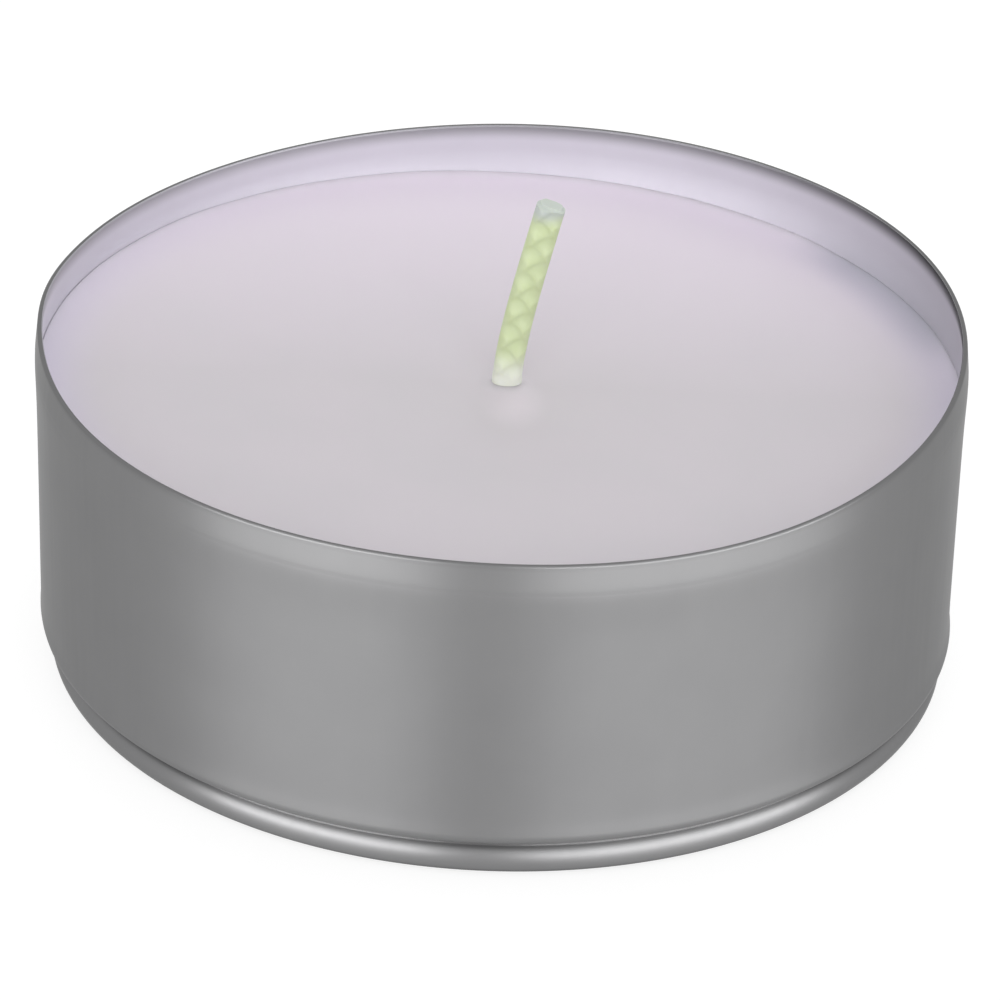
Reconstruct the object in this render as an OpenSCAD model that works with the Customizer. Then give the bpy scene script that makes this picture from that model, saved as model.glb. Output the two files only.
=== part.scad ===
// Tea light candle: a drawn foil cup with a folded rim and a beaded foot, filled with wax.
// A braided wick stands in a crimped steel sustainer on the cup's floor.
// Millimetres, +Z up. The origin is on the cup's axis, on the surface that the foot stands on.
// The viewed front is -Y, and the wick leans towards +X.

/* [Cup] */
// Outer diameter over the folded rim
rim_d = 38; // [30:0.5:60]
// Height of the rim above the surface that the cup stands on
cup_h = 14.8; // [11:0.1:30]
// Thickness of the foil
foil_t = 0.1; // [0.08:0.01:0.16]
// Angle of the wall from upright, wider at the top
wall_lean = 0.9; // [0:0.1:3]

/* [Rim] */
// Height of the folded edge
hem_h = 1.15; // [0.6:0.05:1.4]
// Gap between the wall and the leg folded down outside it
hem_gap = 0.02; // [0.01:0.01:0.05]
// Radius of the two bends under the fold that bring the wall out flush with it
joggle_r = 0.15; // [0.12:0.01:0.3]

/* [Foot] */
// Outer radius of the foot bead's section
bead_r = 0.75; // [0.65:0.05:0.85]
// How far the middle of the bead's outer bend lies inside the rim's radius
bead_inset = 1.35; // [1.2:0.05:1.6]
// Width of the flat ring that the cup stands on
foot_flat = 0.3; // [0.1:0.05:0.8]
// Height of the floor panel's underside above the foot
floor_rise = 0.5; // [0.2:0.05:0.8]
// Radius of the underside of the bend from the bead to the floor panel
floor_bend = 0.3; // [0.1:0.05:0.6]
// Outside radius of the crease between the bead and the wall
crease_r = 0.15; // [0.1:0.05:0.25]
// Angle above the horizontal at which the bead turns into the crease
crease_angle = 50; // [40:1:60]
// Slope of the short stretch from the crease out to the wall
shoulder_slope = 20; // [5:1:30]
// Outside radius of the bend at the bottom of the wall
shoulder_r = 0.6; // [0.3:0.05:0.7]

/* [Wax] */
// Depth of the wax surface below the rim
wax_drop = 2.35; // [2.15:0.05:5]
// Height that the wax climbs at the foil
edge_climb = 0.35; // [0:0.05:0.5]
// Distance over which that climb dies away
edge_reach = 0.7; // [0.3:0.05:2]
// Depth of the hollow around the wick
hollow_depth = 0.25; // [0:0.05:1]
// Radius of the hollow around the wick
hollow_r = 5; // [4:0.25:12]
// Height that the wax climbs at the wick
collar_h = 0.35; // [0.1:0.05:0.8]
// Distance over which the wax falls away from the wick
collar_reach = 0.6; // [0.3:0.05:1.2]
// Clearance left by the wax as it shrinks from the foil
wax_shrink = 0.03; // [0.01:0.01:0.1]
// Clearance of the wax around the wick and the sustainer
cast_gap = 0.02; // [0.01:0.01:0.05]

/* [Wick] */
// Diameter of the round hole that the braid just fills
wick_d = 1.2; // [0.8:0.1:2]
// Length of wick above the wax surface
wick_free = 8.7; // [5:0.1:14]
// Length of braid in which a strand crosses over and comes back
braid_pitch = 3.6; // [2.5:0.1:6]
// Angle that the wick's end leans from upright
wick_lean = 13.5; // [0:0.5:25]
// Length of wick over which the lean builds up
lean_reach = 2; // [1:0.1:4]
// How far the wick stands from the cup's axis
wick_x = 0.3; // [0:0.1:2]

/* [Sustainer] */
// Diameter of the sustainer's disc
disc_d = 12.6; // [9:0.1:18]
// Thickness of the sustainer's steel
steel_t = 0.2; // [0.15:0.05:0.3]
// Height of the neck above the cup's floor
neck_h = 3.2; // [2.4:0.1:4.5]
// Outside radius of the bend from the disc up to the neck
root_r = 0.5; // [0.25:0.05:0.8]
// Clearance between the wick and the neck
wick_gap = 0.02; // [0.01:0.01:0.05]
// Height of the pinched stretch of the neck
crimp_h = 0.9; // [0.5:0.1:1.2]
// Depth to which each side of the neck is pinched
crimp_depth = 0.1; // [0.05:0.01:0.13]

/* [Hidden] */

// Turned shapes are drawn with this many sides, small round ones with fewer, and bends with a point
// every few degrees
round_sides = 180;
disc_sides = 96;
neck_sides = 48;
bend_step = 12;

rim_r = rim_d / 2;
half_t = foil_t / 2;
floor_top = floor_rise + foil_t;
wax_level = cup_h - wax_drop;

// The foil follows one line through the middle of its thickness, from the axis out to the folded edge.
// A bend is [centre, middle radius, first angle, last angle], and the stretches between bends are straight.
bead_at = rim_r - bead_inset;
bead_mid = bead_r - half_t;
floor_mid = floor_bend + half_t;
floor_sum = floor_bend + bead_r;
floor_dz = floor_sum - floor_rise;
floor_dx = sqrt(floor_sum * floor_sum - floor_dz * floor_dz);
floor_turn = atan2(floor_dz, floor_dx);
floor_centre = [bead_at - foot_flat - floor_dx, bead_r - floor_dz];

crease_mid = crease_r + half_t;
crease_centre = [bead_at, bead_r] + (bead_mid + crease_mid) * [cos(crease_angle), sin(crease_angle)];

hem_mid = (foil_t + hem_gap) / 2;
hem_centre = [rim_r - hem_mid - half_t, cup_h - hem_mid - half_t];

// Across the wall, the foil's middle lies wall_off from the origin along the wall's outward normal.
// Behind the folded leg it lies tuck_off from there, so that the wall below is flush with the leg.
wall_normal = [cos(wall_lean), -sin(wall_lean)];
wall_up = [sin(wall_lean), cos(wall_lean)];
leg_end = [rim_r, cup_h - hem_h];
wall_off = wall_normal * leg_end - half_t;
tuck_off = wall_normal * hem_centre - hem_mid;
joggle_turn = acos(1 - (wall_off - tuck_off) / (2 * joggle_r));
joggle_top = wall_up * leg_end;
joggle_base = joggle_top - 2 * joggle_r * sin(joggle_turn);

// The bottom bend touches the wall's line and the shoulder's line
shoulder_mid = shoulder_r - half_t;
shoulder_normal = [-sin(shoulder_slope), cos(shoulder_slope)];
shoulder_off = shoulder_normal * crease_centre + crease_mid + shoulder_mid;
inner_off = wall_off - shoulder_mid;
shoulder_centre = [
    inner_off * cos(shoulder_slope) + shoulder_off * sin(wall_lean),
    inner_off * sin(shoulder_slope) + shoulder_off * cos(wall_lean)
] / cos(wall_lean + shoulder_slope);

foot_bends = [
    [floor_centre, floor_mid, 90, floor_turn],
    [[bead_at - foot_flat, bead_r], bead_mid, 180 + floor_turn, 270],
    [[bead_at, bead_r], bead_mid, 270, 360 + crease_angle],
    [crease_centre, crease_mid, 180 + crease_angle, 90 + shoulder_slope],
    [shoulder_centre, shoulder_mid, shoulder_slope - 90, -wall_lean]
];
inward = joggle_turn - wall_lean;
joggle_in = (wall_off - joggle_r) * wall_normal + joggle_base * wall_up;
joggle_out = (tuck_off + joggle_r) * wall_normal + joggle_top * wall_up;
rim_bends = [
    [joggle_in, joggle_r, -wall_lean, inward],
    [joggle_out, joggle_r, 180 + inward, 180 - wall_lean],
    [hem_centre, hem_mid, 180 - wall_lean, 0]
];

// Points of one bend, at a distance to the left of the foil's middle line
function bend_points(b, left) =
    let (sweep = b[3] - b[2], steps = ceil(abs(sweep) / bend_step), radius = b[1] - left * sign(sweep))
    [for (i = [0:steps]) let (a = b[2] + sweep * i / steps) b[0] + radius * [cos(a), sin(a)]];

// Points along the floor and the foot, up to the bottom of the wall
function foot_skin(left) =
    concat([[0, floor_rise + half_t + left]], [for (b = foot_bends) each bend_points(b, left)]);

// Radius of the wall below the joggle at a height, at a distance inside the foil's middle line
function wall_radius(z, left) = (wall_off - left + z * sin(wall_lean)) / cos(wall_lean);

// Points along the whole foil, over the rim and down to the folded edge
function foil_skin(left) =
    concat(foot_skin(left), [for (b = rim_bends) each bend_points(b, left)], [leg_end - [half_t - left, 0]]);

function reversed(list) = [for (i = [len(list) - 1:-1:0]) list[i]];

// Height of the wax surface at a radius from the cup's axis
wax_edge = wall_radius(wax_level + edge_climb, half_t + wax_shrink);
function wax_height(r) =
    wax_level + edge_climb * exp((r - wax_edge) / edge_reach)
    - (r < hollow_r ? hollow_depth * (1 + cos(180 * r / hollow_r)) / 2 : 0);

// Radii of the surface's points: close together at the foil, evenly spaced over the hollow
edge_span = 4;
edge_steps = 7;
hollow_steps = 12;
surface_radii = concat(
    [for (i = [0:edge_steps]) wax_edge - edge_span * edge_reach * pow(i / edge_steps, 2)],
    [for (i = [0:hollow_steps]) hollow_r * (1 - i / hollow_steps)]
);

// The wick's middle line: upright to the wax surface, then leaning more and more towards its end
wick_r = wick_d / 2;
collar_base = wax_level - hollow_depth;
rings_per_pitch = 12;
upright = collar_base - floor_top;
ring_count = round((upright + wick_free) * rings_per_pitch / braid_pitch);
ring_step = (upright + wick_free) / ring_count;
function lean_at(s) = s < upright ? 0 : wick_lean * (1 - exp((upright - s) / lean_reach));
function wick_pace(i) = let (lean = lean_at((i + 0.5) * ring_step)) ring_step * [sin(lean), cos(lean)];
wick_line = [for (i = 0, p = [wick_x, floor_top]; i <= ring_count; p = p + wick_pace(i), i = i + 1) p];

// Three strands that lie against each other as they cross: their sway and depth follow from their radius
strands = 3;
strand_sides = 8;
strand_r = wick_r / 3;
sway = 2 * strand_r;
depth = 2 * strand_r / sqrt(3);

// One point of a strand's skin, on the cross-section of the wick at a ring
function strand_point(k, i, side) =
    let (
        phase = 360 * (i * ring_step / braid_pitch + k / strands),
        lean = lean_at(i * ring_step),
        round = 360 * side / strand_sides,
        across = sway * sin(phase) + strand_r * cos(round)
    )
    [
        wick_line[i][0] + across * cos(lean),
        depth * sin(2 * phase) + strand_r * sin(round),
        wick_line[i][1] - across * sin(lean)
    ];

neck_bore = wick_r + wick_gap;
neck_r = neck_bore + steel_t;
neck_top = floor_top + neck_h;
crimp_mid = floor_top + (neck_h + root_r + steel_t) / 2;

module cup() {
    color("silver")
        rotate_extrude($fn = round_sides)
            polygon(concat(foil_skin(half_t), reversed(foil_skin(-half_t))));
}

// The wax's outline against the foil, dropped until it rests on the floor
module wax_body() {
    side = [for (p = foot_skin(half_t + wax_shrink)) p - [0, wax_shrink]];
    surface = [for (r = surface_radii) [r, wax_height(r)]];
    rotate_extrude($fn = round_sides)
        polygon(concat(side, surface));
}

// The wax that climbs the wick, as a turned collar around it whose foot is sunk in the wax
module wax_collar() {
    steps = 6;
    span = 3;
    inner = wick_r / 2;
    outer = wick_r + span * collar_reach;
    sunk = collar_base - 1;
    slope = [for (i = [0:steps]) let (x = span * i / steps)
        [wick_r + x * collar_reach, collar_base + collar_h * (exp(-x) - exp(-span))]];
    translate([wick_x, 0, 0])
        rotate_extrude($fn = round_sides)
            polygon(concat([[inner, collar_base + collar_h]], slope, [[outer, sunk], [inner, sunk]]));
}

// Space that the wick and the sustainer take in the wax
module cast_space() {
    translate([wick_x, 0, 0]) {
        cylinder(r = wick_r + cast_gap, h = cup_h, $fn = neck_sides);
        cylinder(r = neck_r + cast_gap, h = neck_top + cast_gap, $fn = neck_sides);
        cylinder(r = neck_r + root_r + cast_gap, h = floor_top + steel_t + root_r + cast_gap, $fn = neck_sides);
        cylinder(d = disc_d + 2 * cast_gap, h = floor_top + steel_t + cast_gap, $fn = disc_sides);
    }
}

module wax() {
    color("thistle")
        difference() {
            union() {
                wax_body();
                wax_collar();
            }
            cast_space();
        }
}

module strand(k) {
    rings = [for (i = [0:ring_count]) each [for (j = [0:strand_sides - 1]) strand_point(k, i, j)]];
    last = ring_count * strand_sides;
    skin = [
        for (i = [0:ring_count - 1], j = [0:strand_sides - 1])
            let (a = i * strand_sides, n = (j + 1) % strand_sides)
            [a + j, a + strand_sides + j, a + strand_sides + n, a + n]
    ];
    ends = [[for (j = [0:strand_sides - 1]) j], [for (j = [strand_sides - 1:-1:0]) last + j]];
    polyhedron(rings, concat(skin, ends), convexity = 6);
}

module wick() {
    color("palegoldenrod")
        for (k = [0:strands - 1]) strand(k);
}

// The disc, the bend and the neck as one turned sheet
module sustainer_sheet() {
    inner_bend = root_r + steel_t;
    bend_centre = [neck_r + root_r, floor_top + steel_t + root_r];
    under = bend_points([bend_centre, inner_bend, 270, 180], 0);
    over = bend_points([bend_centre, root_r, 180, 270], 0);
    rotate_extrude($fn = round_sides)
        polygon(concat([[disc_d / 2, floor_top]], under, [[neck_bore, neck_top], [neck_r, neck_top]], over,
            [[disc_d / 2, floor_top + steel_t]]));
}

// The slabs beside the neck where it is pinched, from a distance to the wick's middle outwards
module crimp_slabs(from) {
    for (side = [0, 1])
        mirror([0, side, 0])
            translate([-neck_r, from, crimp_mid - crimp_h / 2])
                cube([2 * neck_r, neck_r, crimp_h]);
}

module wick_sustainer() {
    color("lightsteelblue")
        translate([wick_x, 0, 0])
            difference() {
                union() {
                    sustainer_sheet();
                    intersection() {
                        translate([0, 0, crimp_mid - crimp_h / 2])
                            cylinder(r = neck_bore + steel_t / 2, h = crimp_h, $fn = neck_sides);
                        crimp_slabs(neck_bore - crimp_depth);
                    }
                }
                crimp_slabs(neck_r - crimp_depth);
            }
}

cup();
wax();
wick();
wick_sustainer();
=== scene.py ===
"""Looks of a tea light candle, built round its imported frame.

The candle is a drawn foil cup with a folded rim and a beaded foot, the wax that was cast in it, and a
braided wick in a steel sustainer. Everything is in metres, in the frame of the solids: +Z is up, the cup
stands on z = 0, the viewed front is -Y, and the wick leans towards +X.
"""
import logging
import math
from dataclasses import dataclass, replace
from enum import Enum

import bpy
import numpy as np
from mathutils import Matrix, Vector, noise


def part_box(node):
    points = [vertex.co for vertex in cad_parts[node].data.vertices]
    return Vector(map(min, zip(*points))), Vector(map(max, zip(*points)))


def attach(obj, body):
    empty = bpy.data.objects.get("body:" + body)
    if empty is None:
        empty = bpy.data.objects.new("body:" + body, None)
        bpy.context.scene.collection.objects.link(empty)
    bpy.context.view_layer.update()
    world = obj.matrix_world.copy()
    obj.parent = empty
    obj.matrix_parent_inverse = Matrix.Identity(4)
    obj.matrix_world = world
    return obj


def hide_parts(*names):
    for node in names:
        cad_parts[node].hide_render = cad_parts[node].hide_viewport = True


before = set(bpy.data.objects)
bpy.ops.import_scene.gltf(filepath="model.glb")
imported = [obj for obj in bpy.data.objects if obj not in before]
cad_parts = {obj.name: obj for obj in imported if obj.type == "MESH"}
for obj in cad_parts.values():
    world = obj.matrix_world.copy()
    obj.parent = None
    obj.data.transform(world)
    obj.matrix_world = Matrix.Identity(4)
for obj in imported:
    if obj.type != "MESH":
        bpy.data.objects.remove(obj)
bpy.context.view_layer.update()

LOG = logging.getLogger("tea_light")
MM = 0.001
# Mesh attribute that holds painted shade, which darkens the foil's colour.
PAINTED_SHADE_ATTRIBUTE = "painted_shade"
SHARP_ANGLE = math.radians(50.0)
POLE_SIZE = 1e-9
WHITE = (1.0, 1.0, 1.0)

Colour = tuple[float, float, float]
Pair = tuple[float, float]
Socket = bpy.types.NodeSocket


class Slot(Enum):
    """Material slots of the record, one for each kind of piece."""

    FOIL = "foil"
    WAX = "wax"
    COTTON = "cotton"
    STEEL = "steel"


class Side(Enum):
    """The two faces of a sheet, as the sign of their distance to the left of its middle line."""

    INNER = 1
    OUTER = -1


def smooth_step(x: np.ndarray | float) -> np.ndarray | float:
    """Ease from 0 to 1 while x goes from 0 to 1, with level ends that go on outside."""
    t = np.clip(x, 0.0, 1.0)
    return t * t * (3.0 - 2.0 * t)


def bell(x: np.ndarray | float) -> np.ndarray | float:
    """Return a smooth bump that is 1 where x is 0 and nearly 0 past 2."""
    return np.exp(-np.square(x))


def new_object(name: str, data: bpy.types.ID) -> bpy.types.Object:
    """Make an object and link it to the scene.

    Args:
        name: Name of the object.
        data: Its mesh, lamp or camera.

    Returns:
        The object.
    """
    made = bpy.data.objects.new(name, data)
    bpy.context.scene.collection.objects.link(made)
    return made


def sweep_mesh(
    name: str,
    rings: np.ndarray,
    ring_loop: bool,
    finishes: list[int] | None = None,
    painted_shade: np.ndarray | None = None,
) -> bpy.types.Object:
    """Skin a grid of points whose rows are closed rings.

    Args:
        name: Name of the new object.
        rings: Points, as rings x points round each ring x 3. A ring of coincident points is a pole.
        ring_loop: True where the last ring joins the first, as on a torus; otherwise open ends are capped.
        finishes: Number of the material that starts at each ring, or nothing for a piece of one material.
        painted_shade: How much painted shade the surface has at each point, from 0 to 1, or nothing where it
            is all alike.

    Returns:
        The new object, linked to the scene, with smooth shading and sharp folds.
    """
    count, sides = rings.shape[:2]
    poles = [bool(np.ptp(ring, axis=0).max() < POLE_SIZE) for ring in rings]
    vertices: list[np.ndarray] = []
    painted_shading: list[float] = []
    index: list[list[int]] = []
    for number, (ring, pole) in enumerate(zip(rings, poles)):
        start = len(vertices)
        vertices.extend(ring[:1] if pole else ring)
        if painted_shade is not None:
            painted_shading.extend(painted_shade[number, :1] if pole else painted_shade[number])
        index.append([start] * sides if pole else list(range(start, start + sides)))
    faces: list[tuple[int, ...]] = []
    face_finishes: list[int] = []
    for i in range(count if ring_loop else count - 1):
        face_finishes += [finishes[i] if finishes else 0] * sides
        near, far = index[i], index[(i + 1) % count]
        for j in range(sides):
            n = (j + 1) % sides
            corners = (near[j], near[n], far[n], far[j])
            faces.append(tuple(dict.fromkeys(corners)))
    if not ring_loop:
        faces += [tuple(index[0][::-1])] if not poles[0] else []
        faces += [tuple(index[-1])] if not poles[-1] else []
    mesh = bpy.data.meshes.new(name)
    mesh.from_pydata([tuple(v) for v in vertices], [], faces)
    if finishes:
        mesh.polygons.foreach_set("material_index", face_finishes + [0] * (len(faces) - len(face_finishes)))
    if painted_shade is not None:
        mesh.attributes.new(PAINTED_SHADE_ATTRIBUTE, "FLOAT", "POINT").data.foreach_set("value", painted_shading)
    mesh.validate()
    mesh.shade_smooth()
    mesh.set_sharp_from_angle(angle=SHARP_ANGLE)
    return new_object(name, mesh)


def direction(azimuth: float, elevation: float) -> Vector:
    """Return the unit vector from the candle towards an azimuth from the front and a height, in degrees."""
    turn, rise = math.radians(azimuth), math.radians(elevation)
    return Vector((math.sin(turn) * math.cos(rise), -math.cos(turn) * math.cos(rise), math.sin(rise)))


def turned_rings(outline: np.ndarray, sides: int) -> np.ndarray:
    """Turn an outline round the Z axis.

    Args:
        outline: Points of the outline as radius and height.
        sides: Points round the axis.

    Returns:
        The rings of points, for sweep_mesh.
    """
    turn = np.linspace(0.0, 2.0 * math.pi, sides, endpoint=False)
    radius, height = outline[:, :1], outline[:, 1:]
    return np.stack([radius * np.sin(turn), -radius * np.cos(turn), height + 0.0 * turn], axis=2)


@dataclass(frozen=True)
class Bend:
    """One bend of a sheet, by the middle of its thickness.

    Attributes:
        centre: Radius and height of the bend's centre.
        radius: Radius of the middle line.
        first: Angle where the bend starts, in degrees.
        last: Angle where it ends; larger than first where the line turns left.
    """

    centre: Pair
    radius: float
    first: float
    last: float

    def points(self, left: float, step: float) -> np.ndarray:
        """Return points along the bend.

        Args:
            left: Distance of the points to the left of the middle line.
            step: Largest angle between two points, in degrees.

        Returns:
            Points as radius and height.
        """
        count = math.ceil(abs(self.last - self.first) / step) + 1
        angle = np.radians(np.linspace(self.first, self.last, count))
        reach = self.radius - left * math.copysign(1.0, self.last - self.first)
        return np.array(self.centre) + reach * np.stack([np.cos(angle), np.sin(angle)], axis=1)


@dataclass(frozen=True)
class FoilLine:
    """The line that the foil follows from the axis out to its folded edge.

    Attributes:
        rim_r: Outer radius over the rim.
        cup_h: Height of the rim.
        foil_t: Thickness of the foil.
        wall_lean: Angle of the wall from upright, in degrees.
        hem_h: Height of the folded edge.
        hem_gap: Gap inside the fold.
        joggle_r: Middle radius of the two bends under the fold that bring the wall out flush with it.
        bead_r: Outer radius of the foot bead's section.
        bead_inset: How far the bead's outer bend lies inside the rim's radius.
        foot_flat: Width of the flat ring under the foot.
        floor_rise: Height of the floor panel's underside.
        floor_bend: Underside radius of the bend up to the floor panel.
        crease_r: Outside radius of the crease over the bead.
        crease_angle: Angle at which the bead turns into the crease, in degrees.
        shoulder_slope: Slope of the stretch from the crease to the wall, in degrees.
        shoulder_r: Outside radius of the bend at the bottom of the wall.
        flat_points: Points along the floor panel, and along the folded leg.
    """

    rim_r: float
    cup_h: float
    foil_t: float = 0.1 * MM
    wall_lean: float = 0.9
    hem_h: float = 1.15 * MM
    hem_gap: float = 0.02 * MM
    joggle_r: float = 0.15 * MM
    bead_r: float = 0.75 * MM
    bead_inset: float = 1.35 * MM
    foot_flat: float = 0.3 * MM
    floor_rise: float = 0.5 * MM
    floor_bend: float = 0.3 * MM
    crease_r: float = 0.15 * MM
    crease_angle: float = 50.0
    shoulder_slope: float = 20.0
    shoulder_r: float = 0.6 * MM
    flat_points: int = 11

    @property
    def half_t(self) -> float:
        """Half the foil's thickness."""
        return self.foil_t / 2

    @property
    def floor_top(self) -> float:
        """Height of the cup's floor, which the wax and the wick rest on."""
        return self.floor_rise + self.foil_t

    @property
    def wall_axes(self) -> tuple[np.ndarray, np.ndarray]:
        """The wall's outward normal and its direction upwards, as radius and height."""
        lean = math.radians(self.wall_lean)
        return np.array([math.cos(lean), -math.sin(lean)]), np.array([math.sin(lean), math.cos(lean)])

    @property
    def fold(self) -> Bend:
        """The fold over the top."""
        middle = (self.foil_t + self.hem_gap) / 2
        inset = middle + self.half_t
        return Bend((self.rim_r - inset, self.cup_h - inset), middle, 180.0 - self.wall_lean, 0.0)

    @property
    def tuck(self) -> float:
        """How far the wall is tucked in behind the folded leg."""
        return self.wall_offset - float(self.wall_axes[0] @ self.fold.centre) + self.fold.radius

    @property
    def leg_end(self) -> np.ndarray:
        """The outer corner at the bottom of the folded leg."""
        return np.array([self.rim_r, self.cup_h - self.hem_h])

    @property
    def wall_offset(self) -> float:
        """Distance of the wall's middle line from the origin, along the wall's outward normal."""
        return float(self.wall_axes[0] @ self.leg_end) - self.half_t

    @property
    def rim_bends(self) -> list[Bend]:
        """The joggle's two bends, which tuck the wall behind the folded leg, and the fold over the top."""
        normal, up = self.wall_axes
        turn = math.acos(1.0 - self.tuck / (2.0 * self.joggle_r))
        top = float(up @ self.leg_end)
        base = top - 2.0 * self.joggle_r * math.sin(turn)
        inward = math.degrees(turn) - self.wall_lean
        turn_in = (self.wall_offset - self.joggle_r) * normal + base * up
        turn_out = (self.wall_offset - self.tuck + self.joggle_r) * normal + top * up
        return [
            Bend(tuple(turn_in), self.joggle_r, -self.wall_lean, inward),
            Bend(tuple(turn_out), self.joggle_r, 180.0 + inward, 180.0 - self.wall_lean),
            self.fold,
        ]

    @property
    def foot_bends(self) -> list[Bend]:
        """The bends from the floor panel, under the foot bead and out to the wall."""
        bead_at = self.rim_r - self.bead_inset
        bead_mid = self.bead_r - self.half_t
        floor_sum = self.floor_bend + self.bead_r
        floor_dz = floor_sum - self.floor_rise
        floor_dx = math.sqrt(floor_sum**2 - floor_dz**2)
        floor_turn = math.degrees(math.atan2(floor_dz, floor_dx))
        inner_bead = (bead_at - self.foot_flat, self.bead_r)
        floor_centre = (inner_bead[0] - floor_dx, self.bead_r - floor_dz)
        crease_mid = self.crease_r + self.half_t
        angle, lean = math.radians(self.crease_angle), math.radians(self.wall_lean)
        slope = math.radians(self.shoulder_slope)
        reach = bead_mid + crease_mid
        crease_centre = (bead_at + reach * math.cos(angle), self.bead_r + reach * math.sin(angle))
        shoulder_mid = self.shoulder_r - self.half_t
        above = math.cos(slope) * crease_centre[1] - math.sin(slope) * crease_centre[0]
        along = above + crease_mid + shoulder_mid
        inner = self.wall_offset - shoulder_mid
        scale = math.cos(lean + slope)
        shoulder_centre = (
            (inner * math.cos(slope) + along * math.sin(lean)) / scale,
            (inner * math.sin(slope) + along * math.cos(lean)) / scale,
        )
        return [
            Bend(floor_centre, self.floor_bend + self.half_t, 90.0, floor_turn),
            Bend(inner_bead, bead_mid, 180.0 + floor_turn, 270.0),
            Bend((bead_at, self.bead_r), bead_mid, 270.0, 360.0 + self.crease_angle),
            Bend(crease_centre, crease_mid, 180.0 + self.crease_angle, 90.0 + self.shoulder_slope),
            Bend(shoulder_centre, shoulder_mid, self.shoulder_slope - 90.0, -self.wall_lean),
        ]

    def wall_radius(self, height: np.ndarray | float, left: float) -> np.ndarray | float:
        """Return the wall's radius at a height below the joggle and a distance inside its middle line."""
        lean = math.radians(self.wall_lean)
        return (self.wall_offset - left + height * math.sin(lean)) / math.cos(lean)

    def foot(self, left: float, step: float) -> np.ndarray:
        """Return points along the floor and the foot, up to the bottom of the wall.

        Args:
            left: Distance of the points to the left of the middle line.
            step: Largest angle between two points of a bend, in degrees.

        Returns:
            Points as radius and height, from the axis outwards.
        """
        bends = [b.points(left, step) for b in self.foot_bends]
        floor = np.linspace([0.0, bends[0][0, 1]], bends[0][0], self.flat_points + 1)[:-1]
        return np.vstack([floor, *bends])

    def skin(self, side: Side, step: float, wall_rows: int) -> np.ndarray:
        """Return points along one face of the whole foil.

        Args:
            side: Which face of the foil.
            step: Largest angle between two points of a bend, in degrees.
            wall_rows: Points along the wall between its two bends.

        Returns:
            Points as radius and height, from the axis over the rim to the folded edge.
        """
        left = side.value * self.half_t
        foot = self.foot(left, step)
        rim = np.vstack([b.points(left, step) for b in self.rim_bends])
        heights = np.linspace(foot[-1, 1], rim[0, 1], wall_rows + 2)[1:-1]
        wall = np.stack([self.wall_radius(heights, left), heights], axis=1)
        leg = np.linspace(rim[-1], [rim[-1, 0], self.leg_end[1]], self.flat_points + 1)[1:]
        return np.vstack([foot, wall, rim, leg])


@dataclass(frozen=True)
class Askew:
    """How the pressed cup is out of true: its rim rises and dips, and its foot stands to one side.

    Attributes:
        height: Height of the cup.
        radius: Radius of the rim.
        rim_waves: Rise of the rim as waves round the cup: the front's and the +X side's share of each,
            from one wave a turn upwards.
        rim_shift: How far the rim stands towards +X.
        base_shift: How much farther the bottom of the wall stands that way.
        foot_shift: How much farther the foot does.
        foot_reach: Height over which the foot's own shift dies away.
        spread: Share by which the rim is wider from side to side than it is round.
        spread_power: Power of the height with which that grows.
        lift_power: Power of the height with which the rim's rise grows.
        peak: A corner in the rim: its azimuth in degrees, its rise, and its half width in degrees.
    """

    height: float
    radius: float
    rim_waves: tuple[Pair, ...] = (
        (-0.243 * MM, 0.217 * MM),
        (-0.101 * MM, -0.180 * MM),
        (0.053 * MM, -0.038 * MM),
        (0.058 * MM, -0.016 * MM),
    )
    rim_shift: float = 0.07 * MM
    base_shift: float = 0.1 * MM
    foot_shift: float = 0.08 * MM
    foot_reach: float = 1.8 * MM
    spread: float = 0.0028
    spread_power: int = 3
    lift_power: float = 1.5
    peak: tuple[float, float, float] = (-92.0, 0.3 * MM, 13.0)

    def slide(self, across: np.ndarray, height: np.ndarray) -> np.ndarray:
        """Return how far each point is moved in X.

        Args:
            across: X of the points.
            height: Heights of the points.

        Returns:
            The movement of each.
        """
        share = height / self.height
        foot = self.foot_shift * bell(height / self.foot_reach)
        wider = self.spread * across * share**self.spread_power
        return self.rim_shift + self.base_shift * (1.0 - share) + foot + wider

    def lift(self, rings: np.ndarray) -> np.ndarray:
        """Return how far each point is moved in Z.

        Args:
            rings: The points, with X, Y and Z along the last axis.

        Returns:
            The movement of each.
        """
        turn = np.arctan2(rings[..., 0], -rings[..., 1])
        rise = np.zeros_like(turn)
        for count, (front, side) in enumerate(self.rim_waves, start=1):
            rise += front * np.cos(count * turn) + side * np.sin(count * turn)
        rise += self.peak[1] * bell((np.degrees(turn) - self.peak[0]) / self.peak[2])
        across = np.hypot(rings[..., 0], rings[..., 1]) / self.radius
        return rise * across**2 * np.clip(rings[..., 2] / self.height, 0.0, 1.0) ** self.lift_power


@dataclass(frozen=True)
class Bulge:
    """A soft bulge of the foil wall.

    Attributes:
        azimuth: Direction of its middle from the front, in degrees, positive towards +X.
        height: Height of its middle.
        rise: How far it bulges out.
        width: Half its width, round the cup.
        length: Half its length, up the wall.
    """

    azimuth: float
    height: float
    rise: float
    width: float
    length: float

    def offset(self, azimuth: np.ndarray, height: np.ndarray, radius: float) -> np.ndarray:
        """Return how far it moves the foil outwards.

        Args:
            azimuth: Directions of the points, in degrees.
            height: Heights of the points.
            radius: Radius of the cup, which turns angles into lengths.

        Returns:
            Outward movement of each point.
        """
        turn = (azimuth - self.azimuth + 180.0) % 360.0 - 180.0
        across = np.radians(turn) * radius
        return self.rise * bell(across / self.width) * bell((height - self.height) / self.length)


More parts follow.
